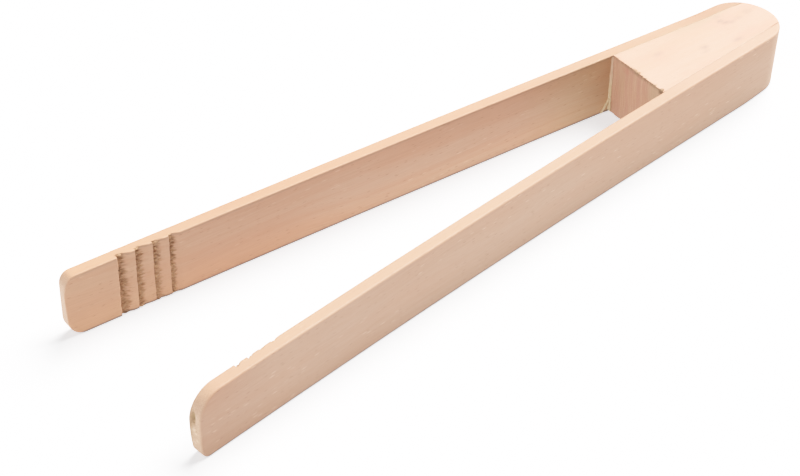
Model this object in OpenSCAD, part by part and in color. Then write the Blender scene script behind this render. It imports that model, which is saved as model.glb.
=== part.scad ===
// Wooden kitchen tongs: two springy beech arms glued to a tapered wedge block.
// The tongs lie on their long edges. +X points to the rounded tail, +Z is up,
// and the origin is the middle of the wedge block's underside.

/* [Arms] */
// Width of each arm, which is the height of the tongs as they lie
arm_h = 23; // [18:0.5:30]
// Thickness of each arm
arm_t = 4.5; // [3:0.1:6]
// Reach of the left arm ahead of the block
left_reach = 214.8; // [180:0.2:240]
// Reach of the right arm ahead of the block
right_reach = 213.6; // [180:0.2:240]
// Angle of each arm to the middle line at the block
splay = 4.8; // [3:0.1:7]
// Outward warp of the left arm at its tip
left_warp = 4.5; // [-6:0.1:6]
// Outward warp of the right arm at its tip (negative is inward)
right_warp = -2.3; // [-6:0.1:6]
// Where the arms start to flex, ahead of the block
flex_at = 32; // [20:1:60]

/* [Tips] */
// Upper corner radius of the left tip
left_tip_upper_r = 9; // [1:0.5:11]
// Lower corner radius of the left tip
left_tip_lower_r = 3.5; // [1:0.5:11]
// Upper corner radius of the right tip
right_tip_upper_r = 4; // [1:0.5:11]
// Lower corner radius of the right tip
right_tip_lower_r = 6.5; // [1:0.5:11]

/* [Jaw grooves] */
// Number of grooves across each jaw
groove_count = 4; // [2:1:6]
// Distance from one groove to the next on the left jaw
left_groove_pitch = 4.9; // [4:0.1:8]
// Distance from one groove to the next on the right jaw
right_groove_pitch = 6.2; // [4:0.1:8]
// Depth of a groove at its sharp wall
groove_depth = 1.2; // [0.5:0.1:2]
// Length of a groove's ramp along the arm
groove_ramp = 3.6; // [2:0.1:3.9]
// Distance of the first groove from the left tip
left_groove_start = 17.8; // [14:0.2:26]
// Distance of the first groove from the right tip
right_groove_start = 18.9; // [14:0.2:26]

/* [Wedge block] */
// Width between the arms at the block's front
mouth_w = 27; // [20:0.5:36]
// Middle line length of the block, front to nose
block_l = 65.4; // [50:0.2:80]
// Angle of the front face off square
front_skew = 6; // [0:0.5:8]

/* [Glue] */
// Thickness of the cured glue line
glue_t = 0.15; // [0.1:0.05:0.3]
// Leg of the squeezed-out bead in the right corner
right_bead = 1.5; // [0.8:0.1:2]
// Leg of the squeezed-out bead in the left corner
left_bead = 0.9; // [0.8:0.1:2]

/* [Hidden] */
$fn = 96;
// The sides: left is -Y and right is +Y, seen from the tail towards the tips
L = -1;
R = 1;
slope = tan(splay);
t_y = arm_t / cos(splay);
glue_y = glue_t / cos(splay);
// Distance from the block's front to the origin
back = 30;
// Nose: one round tangent to both outer faces
half_out = mouth_w / 2 + t_y;
nose_x = (block_l - half_out * cos(splay)) / (1 - sin(splay));
nose_r = block_l - nose_x;
steps = 14;
beech = [0.87, 0.71, 0.56];
beech_block = [0.90, 0.76, 0.64];
glue_tint = [0.86, 0.78, 0.55];

function reach(s) = s == L ? left_reach : right_reach;
function warp(s) = s == L ? left_warp : right_warp;
function groove_start(s) = s == L ? left_groove_start : right_groove_start;
function groove_pitch(s) = s == L ? left_groove_pitch : right_groove_pitch;
// The arms are straight over the block and this far ahead of it, then warp a little
straight = 4;
// Distance of an arm's inner face from the middle line, at x from the block's front
function inner(s, x) = mouth_w / 2 - slope * x
    + (x < -straight ? warp(s) * pow((x + straight) / (reach(s) - straight), 2) : 0);
function outer(s, x) = inner(s, x) + t_y;
// Front corner of the block: its x where the skewed face meets a side line
function corner_x(s) = s * tan(front_skew) * (mouth_w / 2) / (1 + s * tan(front_skew) * slope);

// x of the block's front face at a distance y from the middle line
function front_x(y) = let (xl = corner_x(L), yl = -(inner(L, corner_x(L)) - glue_y),
                           xr = corner_x(R), yr = inner(R, corner_x(R)) - glue_y)
    xl + (xr - xl) * (y - yl) / (yr - yl);

// Outline of an arm through a list of stations, as seen from above
module strip(s, xs) {
    n = len(xs) - 1;
    polygon(concat(
        [for (i = [0:n]) [xs[i], s * inner(s, xs[i])]],
        [for (i = [n:-1:0]) [xs[i], s * outer(s, xs[i])]]));
}

// Rounded tail outline that trims the arms and the block together
module tail_outline() {
    translate([nose_x, 0]) circle(r = nose_r, $fn = 180);
    dx = nose_r * sin(splay);
    dy = nose_r * cos(splay);
    polygon([[nose_x + dx, dy], [-60, outer(R, -60) + 4],
             [-60, -outer(L, -60) - 4], [nose_x + dx, -dy]]);
}

// What a corner radius removes from a square corner
module corner_cut(r) {
    difference() {
        translate([-1, -1]) square(r + 1);
        translate([r, r]) circle(r = r);
        translate([r, -2]) square([2, r + 4]);
        translate([-2, r]) square([r + 4, 2]);
    }
}

// Side outline of a tip with two corner radii
module tip_outline(s, up, low) {
    x = -reach(s);
    difference() {
        translate([x, -1]) square([-x, arm_h + 2]);
        translate([x, 0]) corner_cut(low);
        translate([x, arm_h]) mirror([0, 1]) corner_cut(up);
    }
}

// One saw-tooth groove: a sharp wall on the tip side and a ramp towards the tail
module groove(s, x) {
    lap = 0.6;
    a = [x, s * inner(s, x)];
    b = [x + groove_ramp, s * inner(s, x + groove_ramp)];
    translate([0, 0, -1]) linear_extrude(arm_h + 2)
        polygon([a + [0, -s * lap], a + [0, s * groove_depth], b, b + [0, -s * lap]]);
}

module arm_root(s) {
    linear_extrude(arm_h) intersection() {
        strip(s, [block_l + 2, -straight, -(straight + flex_at) / 2, -flex_at]);
        tail_outline();
    }
}

module arm_blade(s, up, low) {
    difference() {
        intersection() {
            linear_extrude(arm_h)
                strip(s, [for (i = [0:steps]) -flex_at - (reach(s) - flex_at) * i / steps]);
            rotate([90, 0, 0]) linear_extrude(160, center = true) tip_outline(s, up, low);
        }
        for (i = [0:groove_count - 1])
            groove(s, -reach(s) + groove_start(s) + i * groove_pitch(s));
    }
}

module glue_line(s) {
    translate([0, 0, 0.1]) linear_extrude(arm_h - 0.2) intersection() {
        polygon([for (p = [[corner_x(s), 0], [block_l + 2, 0],
                           [block_l + 2, glue_y], [corner_x(s), glue_y]])
                 [p[0], s * (inner(s, p[0]) - p[1])]]);
        tail_outline();
    }
}

// Cured glue squeezed out into the corner between the block and an arm
module glue_bead(s, leg, low, high) {
    x = corner_x(s);
    y = inner(s, x) - glue_y;
    clear = 0.01;
    translate([0, 0, low]) linear_extrude(high - low)
        polygon([[x - clear, s * (inner(s, x) - clear)],
                 [x - leg, s * (inner(s, x - leg) - clear)],
                 [x - leg * 0.35, s * (inner(s, x) - leg * 0.4)],
                 [front_x(s * (y - leg)) - clear, s * (y - leg)],
                 [front_x(s * y) - clear, s * y]]);
}

module wedge_block() {
    color(beech_block) translate([-back, 0, 0]) linear_extrude(arm_h) intersection() {
        polygon([[corner_x(L), -(inner(L, corner_x(L)) - glue_y)],
                 [corner_x(R), inner(R, corner_x(R)) - glue_y],
                 [block_l + 2, inner(R, block_l + 2) - glue_y],
                 [block_l + 2, -(inner(L, block_l + 2) - glue_y)]]);
        tail_outline();
    }
}

module left_arm_root() { color(beech) translate([-back, 0, 0]) arm_root(L); }
module left_arm_blade() {
    color(beech) translate([-back, 0, 0]) arm_blade(L, left_tip_upper_r, left_tip_lower_r);
}
module right_arm_root() { color(beech) translate([-back, 0, 0]) arm_root(R); }
module right_arm_blade() {
    color(beech) translate([-back, 0, 0]) arm_blade(R, right_tip_upper_r, right_tip_lower_r);
}
module left_glue_line() { color(glue_tint) translate([-back, 0, 0]) glue_line(L); }
module right_glue_line() { color(glue_tint) translate([-back, 0, 0]) glue_line(R); }
module left_glue_bead() {
    color(glue_tint) translate([-back, 0, 0]) glue_bead(L, left_bead, 9, arm_h - 0.6);
}
module right_glue_bead() {
    color(glue_tint) translate([-back, 0, 0]) glue_bead(R, right_bead, 0.4, arm_h - 0.6);
}

wedge_block();
left_arm_root();
left_arm_blade();
right_arm_root();
right_arm_blade();
left_glue_line();
right_glue_line();
left_glue_bead();
right_glue_bead();
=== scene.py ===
import math

import bpy
import numpy as np
from mathutils import Matrix, Vector


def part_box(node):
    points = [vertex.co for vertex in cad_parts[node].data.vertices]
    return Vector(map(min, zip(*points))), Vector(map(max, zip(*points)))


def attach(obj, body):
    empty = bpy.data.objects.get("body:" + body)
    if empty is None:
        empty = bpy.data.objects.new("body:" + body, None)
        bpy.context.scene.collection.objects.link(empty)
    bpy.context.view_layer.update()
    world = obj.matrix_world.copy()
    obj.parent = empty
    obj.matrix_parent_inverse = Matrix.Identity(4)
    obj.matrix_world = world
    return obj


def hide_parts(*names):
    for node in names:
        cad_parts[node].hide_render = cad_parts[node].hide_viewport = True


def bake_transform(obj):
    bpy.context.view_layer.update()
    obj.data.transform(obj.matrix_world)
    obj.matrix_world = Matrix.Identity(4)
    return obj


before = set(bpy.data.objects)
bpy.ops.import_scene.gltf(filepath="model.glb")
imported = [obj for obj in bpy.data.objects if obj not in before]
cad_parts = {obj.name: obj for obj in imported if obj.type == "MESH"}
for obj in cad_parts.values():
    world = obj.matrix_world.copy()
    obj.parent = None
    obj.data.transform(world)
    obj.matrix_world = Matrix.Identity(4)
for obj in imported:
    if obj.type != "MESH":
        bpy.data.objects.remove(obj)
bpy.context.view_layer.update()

# ---------------------------------------------------------------- sizes, mm
# Everything is laid out in millimetres from the block's front face, then
# moved to the frame. x is negative towards the tips, z is up.
lo_block, hi_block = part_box("wedge_block")
H = hi_block[2] * 1000
NOSE = hi_block[0] * 1000 + 30          # the block's length on the middle line
BACK = 30.0
T = 4.5
SPLAY = math.radians(4.8)
SLOPE = math.tan(SPLAY)
K = 1 / math.cos(SPLAY)
MOUTH = 27.0
GLUE = 0.15
SKEW = math.radians(6)
REACH = {-1: -(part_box("left_arm_blade")[0][0] * 1000 + BACK),
         1: -(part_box("right_arm_blade")[0][0] * 1000 + BACK)}
WARP = {-1: 4.5, 1: -2.3}
HALF_OUT = MOUTH / 2 + T * K
NOSE_X = (NOSE - HALF_OUT * math.cos(SPLAY)) / (1 - math.sin(SPLAY))
NOSE_R = NOSE - NOSE_X


STRAIGHT = 4.0


def inner(s, x):
    """Distance of an arm's inner face from the middle line."""
    x = np.asarray(x, float)
    bow = WARP[s] * ((x + STRAIGHT) / (REACH[s] - STRAIGHT)) ** 2
    return MOUTH / 2 - SLOPE * x + np.where(x < -STRAIGHT, bow, 0)


def corner_x(s):
    return s * math.tan(SKEW) * (MOUTH / 2) / (1 + s * math.tan(SKEW) * SLOPE)


# ---------------------------------------------------------------- noise
def _hash(ix, iy, iz, seed):
    h = (ix.astype(np.int64) * 374761393 + iy.astype(np.int64) * 668265263
         + iz.astype(np.int64) * 2147483647 + seed * 1274126177) & 0xFFFFFFFF
    h = ((h ^ (h >> 13)) * 1274126177) & 0xFFFFFFFF
    h = ((h ^ (h >> 16)) * 2246822519) & 0xFFFFFFFF
    h = h ^ (h >> 15)
    return h / 4294967295.0 * 2 - 1


def noise(x, y, z=0.0, seed=0):
    """Smooth value noise from -1 to 1."""
    x, y, z = np.broadcast_arrays(np.asarray(x, float), np.asarray(y, float),
                                  np.asarray(z, float))
    ix, iy, iz = np.floor(x), np.floor(y), np.floor(z)
    fx, fy, fz = x - ix, y - iy, z - iz
    fx, fy, fz = (f * f * f * (f * (f * 6 - 15) + 10) for f in (fx, fy, fz))
    out = 0
    for dx in (0, 1):
        for dy in (0, 1):
            for dz in (0, 1):
                w = ((fx if dx else 1 - fx) * (fy if dy else 1 - fy)
                     * (fz if dz else 1 - fz))
                out = out + w * _hash(ix + dx, iy + dy, iz + dz, seed)
    return out


def fbm(x, y, z=0.0, seed=0, octaves=3):
    out, amp, tot = 0, 1.0, 0.0
    for o in range(octaves):
        f = 2.03 ** o
        out = out + amp * noise(np.asarray(x) * f, np.asarray(y) * f,
                                np.asarray(z) * f, seed + 31 * o)
        tot += amp
        amp *= 0.5
    return out / tot


def smooth(a, b, x):
    t = np.clip((np.asarray(x, float) - a) / (b - a), 0, 1)
    return t * t * (3 - 2 * t)


# ---------------------------------------------------------------- mesh tools
def make_object(name, verts_mm, faces, attributes, material):
    """A mesh object from points in mm from the block's front."""
    v = np.array(verts_mm, float)
    v[:, 0] -= BACK
    v /= 1000.0
    me = bpy.data.meshes.new(name)
    me.from_pydata(v.tolist(), [], faces)
    me.validate()
    me.update()
    for key, val in attributes.items():
        val = np.asarray(val, np.float32)
        kind = "FLOAT_VECTOR" if val.ndim == 2 else "FLOAT"
        at = me.attributes.new(key, kind, "POINT")
        at.data.foreach_set("vector" if val.ndim == 2 else "value", val.ravel())
    me.materials.append(material)
    me.polygons.foreach_set("use_smooth", [True] * len(me.polygons))
    ob = bpy.data.objects.new(name, me)
    bpy.context.scene.collection.objects.link(ob)
    return ob


def plate_faces(M, J, rings):
    """Faces of a closed plate: grid A, `rings` loops round its rim, grid B.
    Returns the faces and the boundary order as (a, b) pairs."""
    idx = lambda a, b: a * (J + 1) + b
    border = ([(a, 0) for a in range(M)] + [(M, b) for b in range(J)]
              + [(a, J) for a in range(M, 0, -1)] + [(0, b) for b in range(J, 0, -1)])
    nA = (M + 1) * (J + 1)
    P = len(border)
    faces = []
    for a in range(M):
        for b in range(J):
            faces.append((idx(a, b), idx(a, b + 1), idx(a + 1, b + 1), idx(a + 1, b)))
    baseB = nA + rings * P
    loops = [[idx(a, b) for a, b in border]]
    for r in range(rings):
        loops.append([nA + r * P + k for k in range(P)])
    loops.append([baseB + idx(a, b) for a, b in border])
    for r in range(rings + 1):
        A, B = loops[r], loops[r + 1]
        for k in range(P):
            q = (k + 1) % P
            faces.append((A[k], A[q], B[q], B[k]))
    for a in range(M):
        for b in range(J):
            faces.append((baseB + idx(a, b), baseB + idx(a + 1, b),
                          baseB + idx(a + 1, b + 1), baseB + idx(a, b + 1)))
    return faces, border


def shape_tail(x, y, z):
    """The hand-sanded nose: fuller on the right, drawn in a little underneath."""
    zone = smooth(40, 58, x)
    cx, ry = np.maximum(x - NOSE_X, 0), y
    q = np.maximum(np.hypot(cx, ry), 1e-6)
    reach = smooth(3, 12, q)
    tuck = 0.75 * zone * reach * np.clip(1 - z / H, 0, 1) ** 0.8
    x2 = x - tuck * cx / q
    y2 = y - tuck * ry / q + 0.62 * zone * smooth(-3, 9, y) * np.clip(z / H, 0, 1)
    return x2, y2


def round_tail(x, y, z, r=0.7):
    """Eases the upper and lower edges of the whole tail outline by radius r."""
    ang = np.arctan2(np.abs(y), x - NOSE_X)
    on_nose = ang < math.pi / 2 - SPLAY
    d = np.where(on_nose, NOSE_R - np.hypot(x - NOSE_X, y),
                 (HALF_OUT - SLOPE * x - np.abs(y)) * math.cos(SPLAY))
    drop = r - np.sqrt(np.maximum(r * r - np.clip(r - d, 0, r) ** 2, 0))
    zone = smooth(NOSE_X - 22, NOSE_X - 6, x)
    drop = drop * zone
    return np.clip(z, drop, H - drop)


# ---------------------------------------------------------------- arms
TIP = {  # upper and lower corner radius of each tip
    -1: dict(up=9.3, low=3.4),
    1: dict(up=4.0, low=6.4),
}
GROOVES = {  # where the sharp walls are, measured back from the tip
    -1: dict(at=[17.8, 22.8, 27.7, 32.3], top=[0.80, 0.78, 0.72, 0.60], low=[0.9, 0.85, 0.8, 0.7],
             crest=[0.0, 0.14, 0.16, 0.10, 0.0], floor=0.12, rise=0.55, end=3.2),
    1: dict(at=[18.9, 25.2, 31.5, 37.2], top=[1.45, 1.22, 0.90, 0.90],
            low=[1.05, 0.70, 0.60, 0.50],
            crest=[0.0, 0.22, 0.38, 0.22, 0.0], floor=0.30, rise=0.80, end=4.0),
}


def groove_depth(s, x, z):
    """Depth of the jaw grooves into the wood, and how torn the surface is; the torn mask also carries painted
    shade next to each groove's wall.
    """
    g = GROOVES[s]
    e = -REACH[s]
    at = [e + a for a in g["at"]]
    at.append(at[-1] + g["end"])
    depth = np.zeros_like(x)
    torn = np.zeros_like(x)
    for i in range(4):
        a, b = at[i], at[i + 1]
        c0 = g["low"][i] + (g["top"][i] - g["low"][i]) * smooth(2, H - 1, z)
        c1 = g["crest"][i + 1]
        # the deep end of each groove wanders in depth along its length
        deep = c0 * (1 + 0.14 * noise(z * 0.35, i * 7.3, 0, 11 + s))
        u = np.clip((x - a) / (b - a), 0, 1)
        inside = (x >= a) & (x < b)
        flat = g["floor"] + 0.09 * noise(z * 0.9, i * 3.1, 0, 5 + s)
        end = g["rise"] + 0.06 * noise(z * 0.5, i * 2.3, 0, 7 + s)
        if i == 3:
            end = 1.0
        d = deep + (c1 - deep) * smooth(flat, end, u)
        depth = np.where(inside, d, depth)
        edge = 0.40 + 0.10 * fbm(z * 0.8, i * 5.7, 0, 21 + s, 2) + 0.13 * noise(
            z * 2.9, i * 1.3, 0, 23 + s)
        edge = edge * (1.12, 1.0, 1.0, 1.15)[i]
        t = 1 - smooth(edge - 0.10, edge + 0.10, u)
        strong = (1.0, 0.95, 0.75, 0.9)[i]
        # painted shade in the groove, darkest right by its sharp wall
        wall_shade = np.exp(-(np.maximum(x - a, 0) / 0.9) ** 2) * (0.75 + 0.25 * noise(z * 1.9, i, 0, 29 + s))
        torn = np.where(inside, np.clip(t * strong * 0.92 + wall_shade * 0.80, 0, 1), torn)
    # the lead-in crest before the first groove stays at the full thickness
    return depth, torn


def groove_wander(s, x, z):
    """Sideways wander of each groove's sharp wall."""
    g = GROOVES[s]
    e = -REACH[s]
    out = np.zeros_like(x)
    for i, a in enumerate(g["at"]):
        w = 0.16 * fbm(z * 0.45, i * 9.1, 0, 41 + s, 3) + 0.05 * noise(z * 2.7, i, 0, 43 + s)
        out += w * np.exp(-((x - (e + a)) / 1.1) ** 2)
    return out


def arm_stations(s):
    """Stations along the arm: x and z of the upper and lower edge, and their
    outward directions in side view."""
    e = -REACH[s]
    up, low = TIP[s]["up"], TIP[s]["low"]
    xT, zT, xB, zB, nT, nB = [], [], [], [], [], []
    Na = 14
    for k in range(Na + 1):
        f = math.radians(90 * k / Na)
        xT.append(e + up * (1 - math.cos(f))); zT.append(H - up + up * math.sin(f))
        xB.append(e + low * (1 - math.cos(f))); zB.append(low - low * math.sin(f))
        nT.append((-math.cos(f), math.sin(f))); nB.append((-math.cos(f), -math.sin(f)))
    first = GROOVES[s]["at"][0]
    Nb = 16
    join = first - 3.0
    for m in range(1, Nb + 1):
        f = m / Nb
        xT.append(e + up + (join - up) * f); xB.append(e + low + (join - low) * f)
    xs = []
    g = [e + a for a in GROOVES[s]["at"]]
    g.append(g[-1] + GROOVES[s]["end"])
    x = e + join
    for i in range(5):
        n = max(2, int(round((g[i] - x) / (0.26 if i else 0.5))))
        for m in range(1, n + 1):
            xs.append(x + (g[i] - x) * m / n)
        if i < 4:
            xs[-1] = g[i] - 0.02
            xs.append(g[i] + 0.05)
            xs.append(g[i] + 0.20)
            x = g[i] + 0.20
        else:
            x = g[i]
    while x < -4.0:
        x += 1.6
        xs.append(x)
    n = 6
    start = xs[-1]
    for m in range(1, n + 1):
        xs.append(start + (3.0 - start) * m / n)
    tangent = NOSE_X + NOSE_R * math.sin(SPLAY)
    start = 3.0
    n = 30
    for m in range(1, n + 1):
        xs.append(start + (tangent - start) * m / n)
    # round the nose until the outer surface meets the glue line
    lo, hi = tangent, NOSE - 0.01
    for _ in range(60):
        mid = (lo + hi) / 2
        if math.sqrt(max(NOSE_R ** 2 - (mid - NOSE_X) ** 2, 0)) > float(inner(s, mid)):
            lo = mid
        else:
            hi = mid
    tail = lo - 0.02
    a0 = math.acos((tangent - NOSE_X) / NOSE_R)
    a1 = math.acos((tail - NOSE_X) / NOSE_R)
    n = 22
    for m in range(1, n + 1):
        xs.append(NOSE_X + NOSE_R * math.cos(a0 + (a1 - a0) * m / n))
    xT += xs; xB += xs
    extra = len(xT) - len(zT)
    zT += [H] * extra; zB += [0.0] * extra
    nT += [(0, 1)] * extra; nB += [(0, -1)] * extra
    return (np.array(xT), np.array(zT), np.array(nT),
            np.array(xB), np.array(zB), np.array(nB), tangent)


def build_arm(s, name, material):
    xT, zT, nT, xB, zB, nB, tangent = arm_stations(s)
    M = len(xT) - 1
    J = 96
    e = -REACH[s]

    def thickness(x):
        y = np.sqrt(np.maximum(NOSE_R ** 2 - (x - NOSE_X) ** 2, 0))
        t = (y - inner(s, x)) / K
        return np.where(x > tangent, np.minimum(T, np.maximum(t, 0.02)), T)

    def r_in(x):   # eased inner edge, nearly sharp where it is glued
        return 0.42 + (0.03 - 0.42) * smooth(-2.5, 1.0, x)

    def r_out(x):
        return 0.60 + 0 * x

    # spacing across the arm, closer at both edges
    w = np.linspace(0, 1, J + 1)
    w = w + 0.035 * np.sin(2 * math.pi * w) * -1

    def grid(radius):
        """Side-view grid of one face, inset from the outline by its edge radius."""
        rT, rB = radius(xT), radius(xB)
        th = thickness(xT)
        rT = np.minimum(rT, th * 0.45); rB = np.minimum(rB, th * 0.45)
        T2 = np.stack([xT, zT], 1) - nT * rT[:, None]
        B2 = np.stack([xB, zB], 1) - nB * rB[:, None]
        # columns just behind the tip make room for the inset end
        g = B2[:, None, :] * (1 - w)[None, :, None] + T2[:, None, :] * w[None, :, None]
        return g, rT, rB

    faces, border = plate_faces(M, J, 22)
    gi, rTi, rBi = grid(r_in)
    go, rTo, rBo = grid(r_out)
    # full outline at the border, with its outward direction
    g0 = (np.stack([xB, zB], 1)[:, None, :] * (1 - w)[None, :, None]
          + np.stack([xT, zT], 1)[:, None, :] * w[None, :, None])
    ba = np.array([a for a, b in border]); bb = np.array([b for a, b in border])
    nb = np.zeros((len(border), 2)); ri = np.zeros(len(border)); ro = np.zeros(len(border))
    top = bb == J; bot = bb == 0
    end0 = (ba == 0) & ~top & ~bot; endM = (ba == M) & ~top & ~bot
    nb[top] = nT[ba[top]]; nb[bot] = nB[ba[bot]]
    nb[end0] = (-1, 0); nb[endM] = (1, 0)
    ri[top] = rTi[ba[top]]; ri[bot] = rBi[ba[bot]]
    ro[top] = rTo[ba[top]]; ro[bot] = rBo[ba[bot]]
    ri[end0] = rTi[0]; ro[end0] = rTo[0]
    ri[endM] = 0; ro[endM] = 0
    pb = g0[ba, bb]
    tb = thickness(pb[:, 0])
    rings = []
    for k in range(4):                       # inner edge, quarter round
        f = math.radians(90 * (k + 1) / 4)
        rings.append((pb - nb * (ri * (1 - math.sin(f)))[:, None], ri * (1 - math.cos(f)),
                      (k + 1) / 5))
    for k in range(14):                      # across the edge
        f = (k + 1) / 15
        rings.append((pb.copy(), ri + (tb - ri - ro) * f, 1.0))
    for k in range(4):                       # outer edge
        f = math.radians(90 * k / 4)
        rings.append((pb - nb * (ro * (1 - math.cos(f)))[:, None], tb - ro * (1 - math.sin(f)),
                      (4 - k) / 5))
    P2 = np.concatenate([gi.reshape(-1, 2)] + [r[0] for r in rings] + [go.reshape(-1, 2)])
    N = np.concatenate([np.zeros(gi.shape[0] * gi.shape[1])] + [r[1] for r in rings]
                       + [thickness(go.reshape(-1, 2)[:, 0])])
    rim = np.concatenate([np.zeros(gi.shape[0] * gi.shape[1])]
                         + [np.full(len(border), r[2]) for r in rings]
                         + [np.zeros(go.shape[0] * go.shape[1])])
    x, z, n = P2[:, 0].copy(), P2[:, 1].copy(), N.copy()
    t = thickness(x)
    fwd = np.clip(-nb[:, 0], 0, 1) * (pb[:, 0] < e + 14)
    endg = np.concatenate([np.zeros(gi.shape[0] * gi.shape[1])] + [fwd * r[2] for r in rings]
                          + [np.zeros(go.shape[0] * go.shape[1])])
    cream = np.zeros_like(x)
    dark = np.zeros_like(x)
    rest = np.stack([x, z, n], 1)            # wood coordinates, before any damage
    torn = np.zeros_like(x)

    # jaw grooves on the inner side
    gd, gt = groove_depth(s, x, z)
    near = np.clip(1 - n / t, 0, 1)
    torn = np.maximum(torn, gt * smooth(0.75, 1.0, near) * (1 - 0.55 * rim))
    ragged = (0.40 * fbm(x * 0.8, z * 1.7, 0, 51 + s, 2)
              + 0.45 * noise(x * 1.0, z * 2.9, 0, 53 + s))
    rough_edge = gt * ragged * smooth(0.7, 1, near)
    d = np.maximum(gd + rough_edge, 0) * (gd > 0)
    n = d + n * (1 - d / t)
    x = x + groove_wander(s, x, z) * near

    # the tip's end face leans back towards the outer side
    tipf = np.clip(1 - (x - e) / 11.0, 0, 1) ** 1.5
    frac = np.clip(n / t, 0, 1)
    if s == 1:
        x = x + tipf * (0.95 * frac + 0.055 * np.maximum(14 - z, 0) * (1 - frac)
                        + 0.9 * smooth(H - 7, H - 1, z) * (1 - frac))
    else:
        low = np.clip((13.0 - z) / 13.0, 0, 1)
        x = x + tipf * (1.15 * frac + 1.5 * low ** 2 * (1 - frac) + 0.4 * low ** 4 * frac)

    # gentle unevenness of hand sanding
    wob = 0.035 * fbm(x * 0.05, z * 0.11, n * 0.2, 61 + s, 2)
    y = inner(s, x) + (n + wob) * K
    z = round_tail(x, y, np.clip(z, 0.0, H))
    # saw and sanding texture of the sawn edges
    end = smooth(0.6, 1.0, rim) * np.clip(1 - (x - e) / 3.5, 0, 1)
    torn = np.maximum(torn, 0)
    if s == -1:
        # rough end grain on the lower half of this tip, with a chip out of it
        zone = end * smooth(16.5, 13.0, z + 0.8 * noise(z * 0.9, n * 1.1, 0, 71))
        rough = 0.16 * fbm(z * 1.5, n * 1.9, 0, 73, 3) + 0.10 * noise(z * 3.6, n * 3.2, 0, 75)
        x = x + zone * (rough + 0.05)
        chip = np.exp(-(((z - 14.6) / 2.3) ** 2 + ((frac - 0.20) / 0.25) ** 2)) * end
        x = x + 1.8 * chip * (1 + 0.35 * noise(z * 1.6, n * 1.5, 0, 77))
        dark = np.clip(chip * 1.5 - 0.15, 0, 1) * (0.75 + 0.25 * noise(z * 2.2, n * 2.0, 0, 83))
        for cz, cf, rz, rf, lift in ((10.9, 0.42, 1.0, 0.16, 0.28), (9.4, 0.55, 0.7, 0.13, 0.20),
                                     (6.8, 0.62, 0.6, 0.16, 0.12), (5.6, 0.40, 0.5, 0.12, 0.10),
                                     (15.9, 0.55, 0.5, 0.10, 0.05)):
            blob = np.exp(-(((z - cz) / rz) ** 2 + ((frac - cf) / rf) ** 2)) * end
            x = x - lift * blob
            ragged_blob = blob * (1 + 0.6 * noise(z * 2.7, n * 2.9, 0, 81))
            cream = np.maximum(cream, np.clip(1.4 * ragged_blob - 0.35, 0, 1) * 0.60)
        torn = np.maximum(torn, zone * np.clip(0.30 + 0.45 * rough * 6, 0, 1))
        torn = np.maximum(torn, np.clip(chip * 1.6, 0, 1))
        skirt = (np.exp(-((frac - 0.06) / 0.12) ** 2) * smooth(18.0, 15.5, z) * smooth(2.0, 6.5, z)
                 * np.clip(1 - (x - e) / 4.5, 0, 1) * (rim > 0.1))
        dark = np.maximum(dark, 0.62 * skirt * (0.8 + 0.4 * noise(z * 1.7, 0, 0, 85)))
    else:
        x = x + end * 0.05 * fbm(z * 1.2, n * 1.5, 0, 79, 2)
    x = np.maximum(x, e + 0.0)

    x, y = shape_tail(x, s * y, z)
    verts = np.stack([x, y, z], 1)
    if s == 1:
        faces = [tuple(reversed(f)) for f in faces]
    ob = make_object(name, verts, faces,
                     {"wood": rest, "torn": torn, "rim": rim, "end": endg, "cream": cream,
                      "dark": np.clip(dark, 0, 1)},
                     material)
    return ob


# ---------------------------------------------------------------- materials
def nodes_of(name):
    m = bpy.data.materials.new(name)
    m.use_nodes = True
    nt = m.node_tree
    nt.nodes.clear()
    return m, nt


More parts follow.
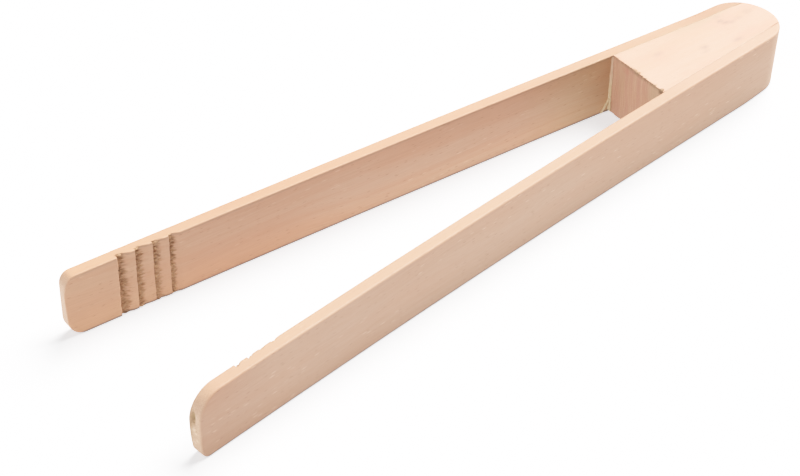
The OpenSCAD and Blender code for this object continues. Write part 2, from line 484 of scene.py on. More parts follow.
class G:
    """Small helper that writes node graphs."""

    def __init__(self, nt):
        self.nt = nt

    def n(self, kind, **kw):
        nd = self.nt.nodes.new(kind)
        for k, v in kw.items():
            setattr(nd, k, v)
        return nd

    def link(self, a, b):
        self.nt.links.new(a, b)

    def put(self, sock, v):
        if hasattr(v, "is_output"):
            self.link(v, sock)
        else:
            sock.default_value = v

    def math(self, op, a, b=None, c=None, clamp=False):
        nd = self.n("ShaderNodeMath", operation=op, use_clamp=clamp)
        for i, v in enumerate((a, b, c)):
            if v is not None:
                self.put(nd.inputs[i], v)
        return nd.outputs[0]

    def vmul(self, v, k):
        nd = self.n("ShaderNodeVectorMath", operation="MULTIPLY")
        self.put(nd.inputs[0], v)
        nd.inputs[1].default_value = k
        return nd.outputs[0]

    def vadd(self, v, k):
        nd = self.n("ShaderNodeVectorMath", operation="ADD")
        self.put(nd.inputs[0], v)
        self.put(nd.inputs[1], k)
        return nd.outputs[0]

    def noise(self, vec, scale=1.0, detail=2.0, rough=0.5, dist=0.0):
        nd = self.n("ShaderNodeTexNoise")
        self.put(nd.inputs["Vector"], vec)
        nd.inputs["Scale"].default_value = scale
        nd.inputs["Detail"].default_value = detail
        nd.inputs["Roughness"].default_value = rough
        nd.inputs["Distortion"].default_value = dist
        return nd.outputs["Fac"]

    def voronoi(self, vec, scale=1.0, randomness=1.0):
        nd = self.n("ShaderNodeTexVoronoi")
        self.put(nd.inputs["Vector"], vec)
        nd.inputs["Scale"].default_value = scale
        nd.inputs["Randomness"].default_value = randomness
        return nd.outputs["Distance"], nd.outputs["Color"]

    def ramp(self, fac, a, b, lo=0.0, hi=1.0):
        """Smooth remap of fac from a..b to lo..hi."""
        nd = self.n("ShaderNodeMapRange", interpolation_type="SMOOTHSTEP")
        self.put(nd.inputs[0], fac)
        nd.inputs[1].default_value = a
        nd.inputs[2].default_value = b
        nd.inputs[3].default_value = lo
        nd.inputs[4].default_value = hi
        return nd.outputs[0]

    def mix(self, fac, a, b, blend="MIX"):
        nd = self.n("ShaderNodeMix", data_type="RGBA", blend_type=blend)
        nd.clamp_factor = True
        self.put(nd.inputs["Factor"], fac)
        ia = [i for i in nd.inputs if i.type == "RGBA"]
        self.put(ia[0], a)
        self.put(ia[1], b)
        return [o for o in nd.outputs if o.type == "RGBA"][0]

    def split(self, v):
        nd = self.n("ShaderNodeSeparateXYZ")
        self.link(v, nd.inputs[0])
        return nd.outputs

    def spot(self, v, at, size, inner=0.35, outer=1.0):
        """A soft elliptical mark: 1 at its centre, 0 beyond its size (mm)."""
        q = self.vadd(v, tuple(-a for a in at))
        q = self.vmul(q, tuple(1.0 / a for a in size))
        nd = self.n("ShaderNodeVectorMath", operation="LENGTH")
        self.link(q, nd.inputs[0])
        return self.ramp(nd.outputs["Value"], inner, outer, 1.0, 0.0)

    def attr(self, name):
        nd = self.n("ShaderNodeAttribute", attribute_type="GEOMETRY", attribute_name=name)
        return nd.outputs


def rgb(r, g, b):
    return (r, g, b, 1.0)


def tint(r, g, b, k=0.80):
    """A wood or glue colour, given for a slightly brighter light."""
    return (r * k, g * k, b * k, 1.0)


def beech(name, pale, mid, warm, edge, seed=(0, 0, 0), flecks=1.0,
          tones=(), rim_tones=(), shine=1.0, foot=None, head=None,
          mouth=None):
    """Raw sanded beech. Grain runs along the first wood coordinate (mm)."""
    m, nt = nodes_of(name)
    g = G(nt)
    out = g.n("ShaderNodeOutputMaterial")
    bsdf = g.n("ShaderNodeBsdfPrincipled")
    g.link(bsdf.outputs[0], out.inputs[0])
    place = g.attr("wood")["Vector"]
    along, height = g.split(place)[0], g.split(place)[1]
    wood = g.vadd(place, seed)
    # the grain wanders a little
    wander = g.noise(g.vmul(wood, (0.012, 0.03, 0.03)), 1.0, 2.0)
    w1 = g.math("MULTIPLY", g.math("SUBTRACT", wander, 0.5), 9.0)
    comb = g.n("ShaderNodeCombineXYZ")
    g.link(w1, comb.inputs[1])
    p = g.vadd(wood, comb.outputs[0])
    drift = g.noise(g.vmul(wood, (0.014, 0.05, 0.09)), 1.0, 2.0, 0.5)
    rings = g.noise(g.vmul(p, (0.0045, 0.30, 0.22)), 1.0, 3.0, 0.62, 0.3)
    lines = g.noise(g.vmul(p, (0.016, 1.7, 1.1)), 1.0, 3.0, 0.6)
    fibre = g.noise(g.vmul(p, (0.16, 6.5, 6.5)), 1.0, 2.0, 0.6)
    col = g.mix(g.ramp(rings, 0.36, 0.66), tint(*pale), tint(*mid))
    col = g.mix(g.ramp(drift, 0.35, 0.70, 0.0, 0.85), col, tint(*warm))
    # darker latewood streaks and fine fibre
    dark = g.ramp(lines, 0.50, 0.78, 0.0, 0.30)
    col = g.mix(dark, col, tint(mid[0] * 0.74, mid[1] * 0.66, mid[2] * 0.58))
    fine = g.ramp(fibre, 0.30, 0.72, 0.0, 0.17)
    col = g.mix(fine, col, tint(mid[0] * 0.62, mid[1] * 0.54, mid[2] * 0.46))
    # medullary ray flecks: short dark dashes along the grain
    vd, vc = g.voronoi(g.vmul(p, (0.28, 1.6, 1.6)))
    sep = g.n("ShaderNodeSeparateColor")
    g.link(vc, sep.inputs[0])
    pick = g.ramp(sep.outputs[0], 0.45, 0.75)
    fl = g.math("MULTIPLY", g.ramp(vd, 0.10, 0.26, 1.0, 0.0), pick)
    col = g.mix(g.math("MULTIPLY", fl, 0.58 * flecks), col,
                tint(mid[0] * 0.50, mid[1] * 0.38, mid[2] * 0.30))
    # pale flecks where the rays lie flat in the face
    wd, wc = g.voronoi(g.vadd(g.vmul(p, (0.20, 1.05, 1.1)), (31.0, 17.0, 5.0)))
    sep2 = g.n("ShaderNodeSeparateColor")
    g.link(wc, sep2.inputs[0])
    patch = g.noise(g.vmul(wood, (0.022, 0.12, 0.12)), 1.0, 2.0)
    lit = g.math("MULTIPLY", g.ramp(wd, 0.10, 0.30, 1.0, 0.0), g.ramp(sep2.outputs[1], 0.50, 0.80))
    lit = g.math("MULTIPLY", lit, g.ramp(patch, 0.44, 0.58))
    col = g.mix(g.math("MULTIPLY", lit, 0.70 * shine), col,
                tint(pale[0] * 1.30, pale[1] * 1.42, pale[2] * 1.50))
    # the wood changes tone a little along its length, browner towards the tips
    for start, stop, tone in tones:
        col = g.mix(g.ramp(along, start, stop), col, g.mix(1.0, col, rgb(*tone), "MULTIPLY"))
    # tone towards the foot and the head of the arm; the right arm's lighter foot is painted light, the floor's
    # bounce on its lower face
    if foot:
        col = g.mix(g.ramp(height, 11.0, 2.0), col, g.mix(1.0, col, rgb(*foot), "MULTIPLY"))
    if head:
        col = g.mix(g.ramp(height, 12.0, 22.0), col, g.mix(1.0, col, rgb(*head), "MULTIPLY"))
    if mouth:   # on the inner face only, towards the block
        depth = g.split(place)[2]
        col = g.mix(g.math("MULTIPLY", g.ramp(along, -45.0, -4.0), g.ramp(depth, 1.6, 0.3)),
                    col, g.mix(1.0, col, rgb(*mouth), "MULTIPLY"))
    # sawn edges are warmer than the faces
    rim = g.attr("rim")["Fac"]
    col = g.mix(g.math("MULTIPLY", rim, 0.8), col,
                g.mix(0.5, g.mix(1.0, col, tint(*edge), "MULTIPLY"), tint(*edge)))
    for start, stop, tone in rim_tones:
        col = g.mix(g.math("MULTIPLY", rim, g.ramp(along, start, stop)), col,
                    g.mix(1.0, col, rgb(*tone), "MULTIPLY"))
    # painted contact shadow: the lower edge is darkened where the arm meets the floor
    contact_shadow = g.math("MULTIPLY", g.ramp(height, 0.42, 1.05, 0.86, 0.0), g.ramp(height, 0.03, 0.14))
    col = g.mix(contact_shadow, col, tint(0.13, 0.090, 0.068))
    # painted shade: a thin dark line just under the inner upper edge
    shade = g.math("MULTIPLY", g.ramp(height, 21.8, 22.5), g.ramp(g.split(place)[2], 0.45, 0.10))
    col = g.mix(g.math("MULTIPLY", shade, 0.38), col, tint(0.33, 0.185, 0.110))
    # end grain at the tip: paler, with fine pores
    endf = g.attr("end")["Fac"]
    pores = g.noise(g.vmul(wood, (0.5, 4.2, 4.2)), 1.0, 2.0, 0.65)
    ecol = g.mix(g.ramp(pores, 0.35, 0.70), tint(0.62, 0.375, 0.242), tint(0.84, 0.535, 0.372))
    col = g.mix(g.math("MULTIPLY", endf, 0.85), col, ecol)
    # torn fibres in the jaw grooves and at the tip, plus painted shade by each groove's wall, all darkened here
    tf = g.attr("torn")["Fac"]
    tn = g.noise(g.vmul(wood, (0.62, 3.1, 2.9)), 1.0, 3.0, 0.68)
    tornf = g.math("MULTIPLY", tf, g.ramp(tn, 0.30, 0.60, 0.55, 1.0))
    tcol = g.mix(g.ramp(tn, 0.42, 0.72), tint(0.26, 0.125, 0.048), tint(0.60, 0.335, 0.175))
    tcol = g.mix(g.math("MULTIPLY", endf, 0.7), tcol,
                 g.mix(g.ramp(tn, 0.38, 0.62), tint(0.40, 0.26, 0.14), tint(0.86, 0.66, 0.43)))
    col = g.mix(g.math("MULTIPLY", tornf, 0.88), col, tcol)
    col = g.mix(g.attr("dark")["Fac"], col, tint(0.37, 0.235, 0.115))
    cream = g.attr("cream")["Fac"]
    col = g.mix(cream, col, tint(0.95, 0.70, 0.48))
    g.link(col, bsdf.inputs["Base Color"])
    # satin-matt: sanding leaves the late wood a little smoother
    rough = g.ramp(fibre, 0.25, 0.75, 0.52, 0.66)
    rough = g.math("ADD", rough, g.math("MULTIPLY", tornf, 0.25), clamp=True)
    g.link(rough, bsdf.inputs["Roughness"])
    bsdf.inputs["Specular IOR Level"].default_value = 0.35
    # bump: fibre, pores and flecks
    h = g.math("MULTIPLY", fibre, 0.7)
    h = g.math("ADD", h, g.math("MULTIPLY", lines, 0.5))
    h = g.math("SUBTRACT", h, g.math("MULTIPLY", fl, 0.35))
    tb = g.noise(g.vmul(wood, (1.6, 6.0, 6.0)), 1.0, 2.0, 0.6)
    h = g.math("ADD", h, g.math("MULTIPLY", g.math("MULTIPLY", tb, tornf), 4.0))
    h = g.math("ADD", h, g.math("MULTIPLY", g.math("MULTIPLY", pores, endf), 2.5))
    bump = g.n("ShaderNodeBump")
    bump.inputs["Strength"].default_value = 0.35
    bump.inputs["Distance"].default_value = 0.00012
    g.link(h, bump.inputs["Height"])
    g.link(bump.outputs[0], bsdf.inputs["Normal"])
    return m


ARM_L = beech("beech_left_arm", (0.590, 0.357, 0.240), (0.574, 0.332, 0.217),
              (0.583, 0.316, 0.197), (0.72, 0.395, 0.245), seed=(13.0, 4.0, 2.0),
              tones=((-60, -170, (0.94, 0.93, 0.93)), (-176, -210, (0.90, 0.84, 0.80))),
              rim_tones=((-8, 18, (1.13, 1.10, 1.16)),),
              foot=(0.95, 0.95, 0.93), head=(0.985, 0.955, 0.935))
# the right arm's foot tone is painted bounce light from the floor on its lower face
ARM_R = beech("beech_right_arm", (0.690, 0.405, 0.268), (0.655, 0.350, 0.223),
              (0.670, 0.325, 0.193), (0.68, 0.34, 0.195), seed=(-71.0, 31.0, 9.0),
              tones=((-95, -150, (0.93, 0.86, 0.81)), (-160, -190, (1.0, 1.03, 1.0))),
              mouth=(0.93, 1.04, 0.94),
              rim_tones=((26, 48, (0.88, 0.83, 0.80)),), shine=0.6, foot=(1.11, 1.09, 1.05))

# ---------------------------------------------------------------- wedge block
def build_block(name, material):
    xl, xr = corner_x(-1), corner_x(1)
    yl = -(float(inner(-1, xl)) - GLUE * K)
    yr = float(inner(1, xr)) - GLUE * K
    # where the sides meet the nose
    lo, hi = NOSE_X, NOSE - 0.01
    for _ in range(60):
        mid = (lo + hi) / 2
        side = float(inner(1, mid)) - GLUE * K
        if math.sqrt(max(NOSE_R ** 2 - (mid - NOSE_X) ** 2, 0)) > side:
            lo = mid
        else:
            hi = mid
    y_end = float(inner(1, lo)) - GLUE * K
    M, J = 96, 84
    v = np.linspace(-1, 1, J + 1)
    v = v * (1 + 0.02 * (1 - v * v))
    F = np.stack([xl + (xr - xl) * (v + 1) / 2, yl + (yr - yl) * (v + 1) / 2], 1)
    yn = v * y_end
    Nn = np.stack([NOSE_X + np.sqrt(NOSE_R ** 2 - yn ** 2), yn], 1)
    # stations: close at the front edge and at the nose
    u = np.concatenate([np.array([0, 0.003, 0.008, 0.014]),
                        np.linspace(0.022, 0.95, M - 11),
                        np.array([0.962, 0.972, 0.980, 0.9865, 0.991, 0.9945, 0.9975, 1.0])])
    M = len(u) - 1
    g0 = F[None, :, :] * (1 - u)[:, None, None] + Nn[None, :, :] * u[:, None, None]
    faces, border = plate_faces(M, J, 6 + 46)
    ba = np.array([a for a, b in border]); bb = np.array([b for a, b in border])
    r = 0.03
    nb = np.zeros((len(border), 2))
    nb[bb == 0] = (0, -1); nb[bb == J] = (0, 1)
    front = (ba == 0); nose = (ba == M)
    nb[front & (bb > 0) & (bb < J)] = (-1, 0)
    nz = g0[M] - np.array([NOSE_X, 0]); nz /= np.linalg.norm(nz, axis=1)[:, None]
    nb[nose] = nz[bb[nose]]
    pb = g0[ba, bb]
    def inset(grid):
        g = grid.copy()
        g[ba, bb] = pb - nb * r
        return g
    low, top = inset(g0), inset(g0)
    rings = []
    for k in range(3):
        f = math.radians(90 * (k + 1) / 3)
        rings.append((pb - nb * r * (1 - math.sin(f)), np.full(len(pb), r * (1 - math.cos(f)))))
    for k in range(46):
        rings.append((pb.copy(), np.full(len(pb), r + (H - 2 * r) * (k + 1) / 47)))
    for k in range(3):
        f = math.radians(90 * k / 3)
        rings.append((pb - nb * r * (1 - math.cos(f)), np.full(len(pb), H - r * (1 - math.sin(f)))))
    P2 = np.concatenate([low.reshape(-1, 2)] + [q[0] for q in rings] + [top.reshape(-1, 2)])
    Z = np.concatenate([np.zeros(low.shape[0] * low.shape[1])] + [q[1] for q in rings]
                       + [np.full(top.shape[0] * top.shape[1], H)])
    is_front = np.concatenate([np.zeros(low.shape[0] * low.shape[1])]
                              + [front.astype(float)] * len(rings)
                              + [np.zeros(top.shape[0] * top.shape[1])])
    x, y, z = P2[:, 0].copy(), P2[:, 1].copy(), Z.copy()
    rest = np.stack([x, y, z], 1)
    # sawn front: end grain with fine upright ridges, torn along its upper edge
    xf = xl + (xr - xl) * (y - yl) / (yr - yl)
    depth = x - xf                                     # distance behind the front face
    edge_fade = smooth(0, 0.8, np.minimum(y - yl, yr - y))
    face = np.exp(-(depth / 0.25) ** 2) * edge_fade
    ridge = (0.050 * fbm(y * 1.5, z * 0.10, 0, 101, 3) + 0.035 * noise(y * 3.4, z * 0.5, 0, 103)
             + 0.030 * noise(y * 2.2, z * 2.2, 0, 105))
    x = x + face * (0.09 + ridge) * is_front
    chips = np.clip(fbm(y * 1.25, 0.0, 0.0, 111, 3) + 0.18, 0, 1) ** 1.2 * 1.05
    chips = chips * (0.6 + 0.5 * smooth(-8, 6, -y))
    chips = chips + 0.85 * np.exp(-((y - yl - 1.2) / 0.8) ** 2) + 0.16 * np.clip(noise(y * 2.1, 0, 0, 119), 0, 1)
    up = smooth(H - 0.9, H, z + 0.35 * noise(y * 2.3, 0, 0, 113))
    x = x + chips * up * np.exp(-(np.maximum(depth, 0) / 0.8) ** 2) * edge_fade
    z = z - 0.30 * chips * smooth(H - 0.02, H, z) * np.exp(-(np.maximum(depth, 0) / 0.6) ** 2) * edge_fade
    low_edge = np.clip(fbm(y * 1.1, 0.0, 0.0, 117, 2) + 0.05, 0, 1) * 0.5
    x = x + low_edge * smooth(0.8, 0, z) * np.exp(-(np.maximum(depth, 0) / 0.5) ** 2) * edge_fade
    z = round_tail(x, y, z)
    # hand-sanded top and bottom; only the top is made very slightly hollow behind the front
    on_top = (z > H - 0.02) & (Z >= H)
    hollow = np.clip(0.05 + 0.05 * fbm(x * 0.07, y * 0.16, 0, 121, 2), 0, 1)
    z = np.where(on_top, z - hollow * smooth(0, 4, depth) * smooth(0, 2, half_in(x, y)), z)
    torn = (np.clip(chips * 1.4 + 0.30, 0, 1) * up * np.exp(-(np.maximum(depth, 0) / 0.5) ** 2)
            * edge_fade)
    endg = is_front
    x, y = shape_tail(x, y, z)
    verts = np.stack([x, y, z], 1)
    faces = [tuple(reversed(f)) for f in faces]
    return make_object(name, verts, faces,
                       {"wood": rest, "torn": torn, "end": endg}, material)


def half_in(x, y):
    """Distance in from the block's glued sides."""
    return (MOUTH / 2 - SLOPE * x - GLUE) - np.abs(y)


# ---------------------------------------------------------------- glue
def tube(points, radii, sides=14):
    """Closed tube through points, with round ends, as verts and faces."""
    P = np.array(points, float)
    R = np.array(radii, float)
    n = len(P)
    Tn = np.gradient(P, axis=0)
    Tn /= np.linalg.norm(Tn, axis=1)[:, None]
    ref = np.array([0.31, 0.95, 0.05])
    V, F = [], []
    for i in range(n):
        a = np.cross(Tn[i], ref); a /= np.linalg.norm(a)
        b = np.cross(Tn[i], a)
        for k in range(sides):
            t = 2 * math.pi * k / sides
            off = (a * math.cos(t) + b * math.sin(t)) * R[i]
            V.append(P[i] + off)
    for i in range(n - 1):
        for k in range(sides):
            q = (k + 1) % sides
            F.append((i * sides + k, i * sides + q, (i + 1) * sides + q, (i + 1) * sides + k))
    c0, c1 = len(V), len(V) + 1
    V.append(P[0] - Tn[0] * R[0] * 0.5); V.append(P[-1] + Tn[-1] * R[-1] * 0.5)
    for k in range(sides):
        q = (k + 1) % sides
        F.append((c0, q, k))
        F.append((c1, (n - 1) * sides + k, (n - 1) * sides + q))
    return V, F


def build_film(name, s, material):
    """The thin cured glue line between an arm and the block."""
    x0 = corner_x(s) + 0.02
    lo, hi = NOSE_X, NOSE - 0.01
    for _ in range(60):
        mid = (lo + hi) / 2
        if math.sqrt(max(NOSE_R ** 2 - (mid - NOSE_X) ** 2, 0)) > float(inner(s, mid)):
            lo = mid
        else:
            hi = mid
    x1 = lo - 0.05
    M, J = 90, 36
    xs = x0 + (x1 - x0) * np.linspace(0, 1, M + 1) ** 0.8
    zs = np.linspace(0, 1, J + 1)
    faces, border = plate_faces(M, J, 1)
    X = np.repeat(xs[:, None], J + 1, 1)
    # the film stops a hair short of the surface, and not evenly
    short_t = 0.015 + 0.01 * fbm(xs * 0.4, s * 3.0, 0, 151, 3)
    short_b = 0.10 + 0.05 * fbm(xs * 0.4, s * 7.0, 0, 153, 3)
    Zg = short_b[:, None] + (H - short_b - short_t)[:, None] * zs[None, :]
    back = smooth(x1 - 6, x1, X)
    Zg = Zg * (1 - back) + (0.75 + (H - 1.5) * zs[None, :]) * back
    ba = np.array([a for a, b in border]); bb = np.array([b for a, b in border])
    def side(off):
        return np.stack([X, inner(s, X) - off * K, Zg], 2)
    A, B = side(0.02), side(GLUE - 0.02)
    ring = ((A + B) / 2)[ba, bb]
    V = np.concatenate([A.reshape(-1, 3), ring, B.reshape(-1, 3)])
    x, y = shape_tail(V[:, 0], s * V[:, 1], V[:, 2])
    V = np.stack([x, y, V[:, 2]], 1)
    if s == -1:
        faces = [tuple(reversed(f)) for f in faces]
    return make_object(name, V, faces, {"wood": V.copy()}, material)


def build_bead(name, s, leg, z0, z1, material, drip=False, seed=0):
    """Squeezed-out glue in the corner between the block's front and an arm."""
    cx = corner_x(s)
    cy = s * float(inner(s, cx))
    n = 60
    sides = 16
    V, F = [], []
    zs = np.linspace(z0, z1, n)
    wob = 1 + 0.22 * fbm(zs * 0.35, 0, 0, 131 + seed, 3) + 0.10 * noise(zs * 1.4, 0, 0, 133 + seed)
    # it dies away at both ends
    fade = np.sqrt(np.clip((zs - z0) / 1.0, 0.02, 1)) * np.sqrt(np.clip((z1 - zs) / 1.4, 0.02, 1))
    L = leg * wob * fade * (0.75 + 0.25 * smooth(H, 10, zs))
    if drip:   # it spreads at its foot
        L = L * (1 + 0.35 * smooth(5.5, 1.5, zs))
    arm = np.array([-1.0, s * SLOPE])                   # along the arm's inner face
    blk = np.array([-s * math.tan(SKEW), -s])           # along the block's front
    arm /= np.linalg.norm(arm); blk /= np.linalg.norm(blk)
    for i in range(n):
        a = L[i] * (1 + 0.25 * float(noise(zs[i] * 0.8, 5, 0, 135 + seed)))
        b = L[i] * (1 + 0.25 * float(noise(zs[i] * 0.8, 9, 0, 137 + seed)))
        hidden = 0.05
        for k in range(sides):
            if k < 11:       # the visible, slightly hollow front
                t = k / 10
                q = arm * a * (1 - t) ** 1.35 + blk * b * t ** 1.35
                q = q + (arm + blk) * 0.10 * L[i] * math.sin(math.pi * t)
                V.append((cx + q[0], cy + q[1], zs[i]))
            else:            # just inside the wood
                t = (k - 10) / 6
                q = blk * b * max(0, 1 - 2 * t) + arm * a * max(0, 2 * t - 1)
                q = q - (arm + blk) * hidden
                V.append((cx + q[0], cy + q[1], zs[i]))
    for i in range(n - 1):
        for k in range(sides):
            q = (k + 1) % sides
            f = (i * sides + k, i * sides + q, (i + 1) * sides + q, (i + 1) * sides + k)
            F.append(f if s > 0 else tuple(reversed(f)))
    b0 = [k for k in range(sides)]; b1 = [(n - 1) * sides + k for k in range(sides)]
    F.append(tuple(reversed(b0)) if s > 0 else tuple(b0))
    F.append(tuple(b1) if s > 0 else tuple(reversed(b1)))
    V = [tuple(v) for v in V]
    if drip:
        # a run that left the corner and slid down the arm's inner face
        t = np.linspace(0, 1, 22)
        px = cx - 0.5 - 3.3 * t ** 1.2
        pz = 5.4 - 5.0 * t ** 0.9
        py = s * (inner(s, px) - 0.05 - 0.10 * t)
        rr = 0.50 * (0.55 + 0.45 * np.sin(np.pi * np.clip(t * 0.9 + 0.1, 0, 1))) * (
            1 + 0.15 * noise(t * 9, 0, 0, 141))
        v2, f2 = tube(np.stack([px, py, pz], 1), rr)
        base = len(V)
        V += [tuple(v) for v in v2]
        F += [tuple(base + i for i in f) for f in f2]
        # and one that stayed by the block
        px = np.full(18, cx - 0.35) + 0.0
        tt = np.linspace(0, 1, 18)
        pz = 5.0 - 4.4 * tt
        py = s * (inner(s, px) - 0.45 - 0.55 * tt)
        px = px - 0.1 * tt
        rr = 0.42 * (0.7 + 0.3 * np.sin(np.pi * tt)) * (1 + 0.12 * noise(tt * 7, 3, 0, 143))
        v2, f2 = tube(np.stack([px, py, pz], 1), rr)
        base = len(V)
        V += [tuple(v) for v in v2]
        F += [tuple(base + i for i in f) for f in f2]
    V = np.array(V)
    V[:, 2] = np.clip(V[:, 2], 0.05, H - 0.1)
    rest = V.copy()
    return make_object(name, V, F, {"wood": rest}, material)


def glue_material(name, a, b, nose=None):
    m, nt = nodes_of(name)
    g = G(nt)
    out = g.n("ShaderNodeOutputMaterial")
    bsdf = g.n("ShaderNodeBsdfPrincipled")
    g.link(bsdf.outputs[0], out.inputs[0])
    co = g.n("ShaderNodeTexCoord").outputs["Object"]
    n1 = g.noise(g.vmul(co, (900, 900, 260)), 1.0, 3.0, 0.6)
    n2 = g.noise(g.vmul(co, (2600, 2600, 1500)), 1.0, 2.0, 0.5)
    col = g.mix(g.ramp(n1, 0.35, 0.68), tint(*a), tint(*b))
    # the upper part is a thin skin that lets the wood's colour through
    high = g.split(co)[2]
    col = g.mix(g.ramp(high, 0.008, 0.017, 0.0, 0.75), col, tint(0.68, 0.40, 0.265))
    if nose:   # browner where it runs out over the nose
        col = g.mix(g.ramp(g.split(co)[0], 0.030, 0.046), col, tint(*nose))
    g.link(col, bsdf.inputs["Base Color"])
    g.link(g.ramp(n2, 0.3, 0.7, 0.36, 0.56), bsdf.inputs["Roughness"])
    bsdf.inputs["Specular IOR Level"].default_value = 0.45
    bump = g.n("ShaderNodeBump")
    bump.inputs["Strength"].default_value = 0.4
    bump.inputs["Distance"].default_value = 0.00015
    g.link(n1, bump.inputs["Height"])
    g.link(bump.outputs[0], bsdf.inputs["Normal"])
    return m


# Faint marks on the block's upper side: where, how big (mm), how strong
MARKS = [((29.8, -2.8, H), (2.6, 1.5, 3.0), 0.42),
         ((14.1, 4.2, H), (2.8, 1.4, 3.0), 0.34),
         ((42.8, -6.7, H), (2.8, 1.5, 3.0), 0.38),
         ((47.2, 7.9, H), (2.2, 1.3, 3.0), 0.4),
         ((46.6, 5.2, H), (2.2, 1.3, 3.0), 0.45),
         ((47.4, 3.4, H), (2.2, 1.2, 3.0), 0.45),
         ((49.5, 2.4, H), (2.0, 1.2, 3.0), 0.38),
         ((53.0, 2.8, H), (2.2, 1.3, 3.0), 0.26),
         ((59.0, 3.5, H), (2.4, 1.6, 3.0), 0.3),
         ((28.4, -5.0, H), (2.6, 1.2, 3.0), 0.25)]


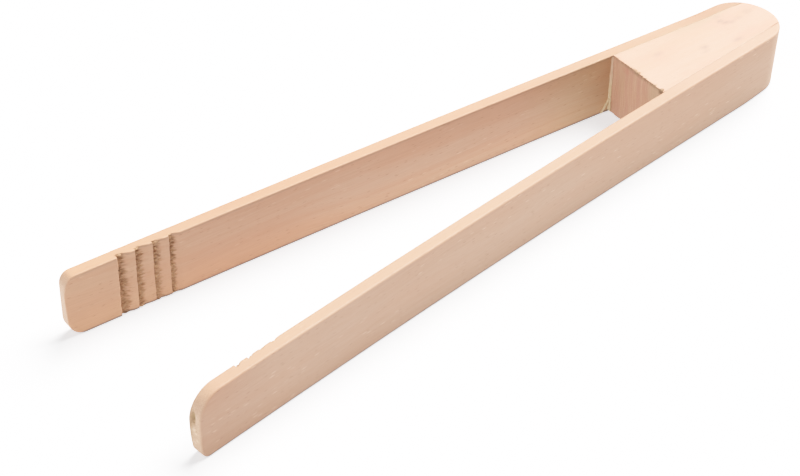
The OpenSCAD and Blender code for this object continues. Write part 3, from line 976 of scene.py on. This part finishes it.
def block_beech(name, seed=(0, 0, 0)):
    """Raw beech with the rays upright: end grain on the front face."""
    m, nt = nodes_of(name)
    g = G(nt)
    out = g.n("ShaderNodeOutputMaterial")
    bsdf = g.n("ShaderNodeBsdfPrincipled")
    g.link(bsdf.outputs[0], out.inputs[0])
    wood = g.vadd(g.attr("wood")["Vector"], seed)
    end = g.attr("end")["Fac"]
    wander = g.noise(g.vmul(wood, (0.02, 0.05, 0.04)), 1.0, 2.0)
    comb = g.n("ShaderNodeCombineXYZ")
    g.link(g.math("MULTIPLY", g.math("SUBTRACT", wander, 0.5), 8.0), comb.inputs[1])
    p = g.vadd(wood, comb.outputs[0])
    drift = g.noise(g.vmul(wood, (0.045, 0.10, 0.06)), 1.0, 2.0, 0.5)
    rings = g.noise(g.vmul(p, (0.012, 0.16, 0.42)), 1.0, 3.0, 0.6, 0.4)
    lines = g.noise(g.vmul(p, (0.03, 1.1, 1.3)), 1.0, 3.0, 0.6)
    fibre = g.noise(g.vmul(p, (0.18, 6.0, 6.0)), 1.0, 2.0, 0.6)
    rays = g.noise(g.vmul(p, (0.28, 2.7, 0.10)), 1.0, 3.0, 0.62)
    rays2 = g.noise(g.vmul(p, (0.2, 0.85, 0.05)), 1.0, 2.0, 0.5)
    pale, mid, warm = (0.700, 0.342, 0.226), (0.690, 0.318, 0.200), (0.705, 0.298, 0.198)
    col = g.mix(g.ramp(rings, 0.36, 0.66), tint(*pale), tint(*mid))
    col = g.mix(g.ramp(drift, 0.45, 0.72, 0.0, 0.8), col, tint(*warm))
    col = g.mix(g.ramp(lines, 0.52, 0.80, 0.0, 0.20), col, tint(0.56, 0.30, 0.195))
    col = g.mix(g.ramp(fibre, 0.30, 0.72, 0.0, 0.12), col, tint(0.45, 0.22, 0.13))
    vd, vc = g.voronoi(g.vmul(p, (0.40, 2.4, 0.12)))
    sep = g.n("ShaderNodeSeparateColor")
    g.link(vc, sep.inputs[0])
    pick = g.ramp(sep.outputs[0], 0.50, 0.78)
    fl = g.math("MULTIPLY", g.ramp(vd, 0.10, 0.28, 1.0, 0.0), pick)
    col = g.mix(g.math("MULTIPLY", fl, 0.34), col, tint(0.36, 0.17, 0.11))
    # handling smudges and a little wild grain on the upper side
    place = g.attr("wood")["Vector"]
    haze = g.noise(g.vmul(wood, (0.55, 0.9, 0.9)), 1.0, 2.0, 0.6)
    for at, size, k in MARKS:
        size = (size[0] * 1.3, size[1] * 1.3, size[2])
        m_ = g.math("MULTIPLY", g.spot(place, at, size, 0.1, 1.0), g.ramp(haze, 0.30, 0.65, 0.40, 1.0))
        col = g.mix(g.math("MULTIPLY", m_, k * 1.9), col, tint(0.40, 0.225, 0.155))
    tan = g.spot(place, (42.0, 11.0, H), (20.0, 5.5, 8.0), 0.3, 1.0)
    col = g.mix(g.math("MULTIPLY", tan, 0.75), col, tint(0.54, 0.285, 0.165))
    # front face: darker, pinker end grain with upright ray lines
    e1 = g.mix(g.ramp(rays, 0.34, 0.66), tint(0.645, 0.335, 0.210), tint(0.745, 0.425, 0.278))
    e1 = g.mix(g.ramp(rays2, 0.40, 0.68, 0.0, 0.70), e1, tint(0.66, 0.320, 0.225))
    e1 = g.mix(g.ramp(fibre, 0.35, 0.75, 0.0, 0.25), e1, tint(0.30, 0.13, 0.07))
    e1 = g.mix(g.math("MULTIPLY", g.spot(place, (1.0, 6.2, 20.6), (3.0, 3.0, 2.0), 0.2, 1.0), 0.55),
               e1, tint(0.62, 0.25, 0.17))
    e1 = g.mix(g.math("MULTIPLY", g.spot(place, (-1.0, -9.6, 19.5), (3.0, 4.6, 9.0), 0.3, 1.0), 0.60),
               e1, tint(0.66, 0.445, 0.275))
    e1 = g.mix(g.math("MULTIPLY", g.spot(place, (1.0, 8.0, 16.0), (3.0, 3.2, 12.0), 0.3, 1.0), 0.40),
               e1, tint(0.62, 0.375, 0.225))
    e1 = g.mix(g.math("MULTIPLY", g.spot(place, (-1.0, -12.2, 22.2), (3.0, 1.9, 1.9), 0.2, 1.0), 0.75),
               e1, tint(0.24, 0.135, 0.065))
    # a dark band under its upper edge: torn fibres, with painted shadow under the ragged edge
    shred = g.noise(g.vmul(wood, (0.3, 1.1, 0.5)), 1.0, 2.0, 0.6)
    high, across = g.split(place)[2], g.split(place)[1]
    torn_fringe_shadow = g.math("MULTIPLY", g.ramp(high, 21.2, 22.7), g.ramp(shred, 0.34, 0.58, 0.25, 1.0))
    torn_fringe_shadow = g.math("MULTIPLY", torn_fringe_shadow, g.ramp(across, 12.0, -4.0, 0.30, 0.62))
    e1 = g.mix(torn_fringe_shadow, e1, tint(0.27, 0.155, 0.080))
    col = g.mix(end, col, e1)
    tf = g.attr("torn")["Fac"]
    col = g.mix(g.math("MULTIPLY", tf, 0.75), col, tint(0.34, 0.20, 0.10))
    g.link(col, bsdf.inputs["Base Color"])
    rough = g.ramp(fibre, 0.25, 0.75, 0.50, 0.64)
    rough = g.math("ADD", rough, g.math("MULTIPLY", end, 0.15), clamp=True)
    g.link(rough, bsdf.inputs["Roughness"])
    bsdf.inputs["Specular IOR Level"].default_value = 0.35
    h = g.math("MULTIPLY", fibre, 0.7)
    h = g.math("ADD", h, g.math("MULTIPLY", g.math("MULTIPLY", rays, end), 2.2))
    h = g.math("SUBTRACT", h, g.math("MULTIPLY", fl, 0.35))
    bump = g.n("ShaderNodeBump")
    bump.inputs["Strength"].default_value = 0.35
    bump.inputs["Distance"].default_value = 0.00012
    g.link(h, bump.inputs["Height"])
    g.link(bump.outputs[0], bsdf.inputs["Normal"])
    return m


BLOCK = block_beech("beech_block", seed=(7.0, 55.0, -3.0))
GLUE_BEAD = glue_material("dried_glue", (0.74, 0.54, 0.29), (0.84, 0.66, 0.41))
GLUE_FILM = glue_material("glue_film", (0.66, 0.38, 0.25), (0.74, 0.45, 0.31), nose=(0.46, 0.26, 0.14))

# ---------------------------------------------------------------- pieces
block = build_block("block", BLOCK)
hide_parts("wedge_block")
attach(block, "root")
beads = (build_bead("bead_right", 1, 0.85, 0.3, H - 0.25, GLUE_BEAD, drip=True, seed=1),
         build_bead("bead_left", -1, 0.75, 9.0, H - 0.5, GLUE_BEAD, seed=2))
for bead, node in zip(beads, ("right_glue_bead", "left_glue_bead")):
    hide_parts(node)
    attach(bead, "root")
films = (build_film("glue_line_left", -1, GLUE_FILM), build_film("glue_line_right", 1, GLUE_FILM))
for film, node in zip(films, ("left_glue_line", "right_glue_line")):
    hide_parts(node)
    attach(film, "root")
left_arm = build_arm(-1, "left_arm", ARM_L)
right_arm = build_arm(1, "right_arm", ARM_R)
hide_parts("left_arm_root", "left_arm_blade")
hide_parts("right_arm_root", "right_arm_blade")
for ob, body, joint in ((left_arm, "left_arm", "left_arm_flex"),
                        (right_arm, "right_arm", "right_arm_flex")):
    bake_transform(ob)

# ---------------------------------------------------------------- stage
def build_stage():
    me = bpy.data.meshes.new("studio_floor")
    s = 30.0
    me.from_pydata([(-s, -s, 0), (s, -s, 0), (s, s, 0), (-s, s, 0)], [], [(0, 1, 2, 3)])
    ob = bpy.data.objects.new("studio_floor", me)
    bpy.context.scene.collection.objects.link(ob)
    m, nt = nodes_of("studio_white")
    g = G(nt)
    out = g.n("ShaderNodeOutputMaterial")
    bsdf = g.n("ShaderNodeBsdfPrincipled")
    g.link(bsdf.outputs[0], out.inputs[0])
    bsdf.inputs["Base Color"].default_value = rgb(0.46, 0.46, 0.465)
    bsdf.inputs["Roughness"].default_value = 0.9
    bsdf.inputs["Specular IOR Level"].default_value = 0.1
    bsdf.inputs["Emission Color"].default_value = rgb(0.985, 0.985, 1.0)
    bsdf.inputs["Emission Strength"].default_value = 1.00
    me.materials.append(m)


build_stage()


def soft_sun(name, energy, angle, color, towards):
    """A wide studio light, far away, shining from the direction given."""
    lamp = bpy.data.objects.new(name, bpy.data.lights.new(name, "SUN"))
    lamp.data.energy = energy
    lamp.data.angle = math.radians(angle)
    lamp.data.color = color
    lamp.rotation_euler = Vector(towards).to_track_quat("Z", "Y").to_euler()
    bpy.context.scene.collection.objects.link(lamp)


soft_sun("key", 15.6, 46, (1.0, 0.99, 0.975), (0.63, 0.11, 0.77))
soft_sun("fill", 2.6, 70, (1.0, 0.995, 0.985), (-0.86, -0.10, 0.50))
world = bpy.data.worlds.new("studio")
bpy.context.scene.world = world
world.use_nodes = True
world.node_tree.nodes["Background"].inputs[0].default_value = (1.0, 1.0, 1.0, 1)
world.node_tree.nodes["Background"].inputs[1].default_value = 0.30

# ---------------------------------------------------------------- camera
az, el, roll = math.radians(40.59), math.radians(37.75), math.radians(0.786)
f_px = 2174.8
S = 22.86
C = Vector((-20.39 * S - BACK, -18.39 * S, 18.92 * S)) / 1000
fw = Vector((math.sin(az) * math.cos(el), math.cos(az) * math.cos(el), -math.sin(el)))
r = Vector((math.cos(az), -math.sin(az), 0)); u = r.cross(fw)
r2 = r * math.cos(roll) + u * math.sin(roll)
u2 = u * math.cos(roll) - r * math.sin(roll)
rot = Matrix((r2, u2, -fw)).transposed().to_4x4()
cam = bpy.data.objects.new("camera", bpy.data.cameras.new("camera"))
cam.matrix_world = Matrix.Translation(C) @ rot
cam.data.sensor_width = 36.0
cam.data.lens = f_px * 36.0 / 800.0
cam.data.clip_end = 100
bpy.context.scene.collection.objects.link(cam)
bpy.context.scene.camera = cam

# ---------------------------------------------------------------- tone
# A plain photographic shoulder, so that bright wood pales instead of clipping.
vs = bpy.context.scene.view_settings
vs.view_transform = "Standard"
vs.look = "None"
vs.use_curve_mapping = True
cm = vs.curve_mapping
cm.white_level = (4.0, 4.0, 4.0)
TOP = 3.1
curve = cm.curves[3]


def shoulder(v):
    return min(1.0, (1 - math.exp(-1.02 * v)) / (1 - math.exp(-1.02 * TOP)))


xs = [0.0, 0.1, 0.2, 0.35, 0.5, 0.7, 0.9, 1.2, 1.5, 1.9, 2.4, TOP, 4.0]
curve.points[0].location = (0.0, 0.0)
curve.points[1].location = (1.0, 1.0)
for v in xs[1:-1]:
    curve.points.new(v / 4.0, shoulder(v))
for pt in curve.points:
    pt.handle_type = "AUTO"
cm.update()
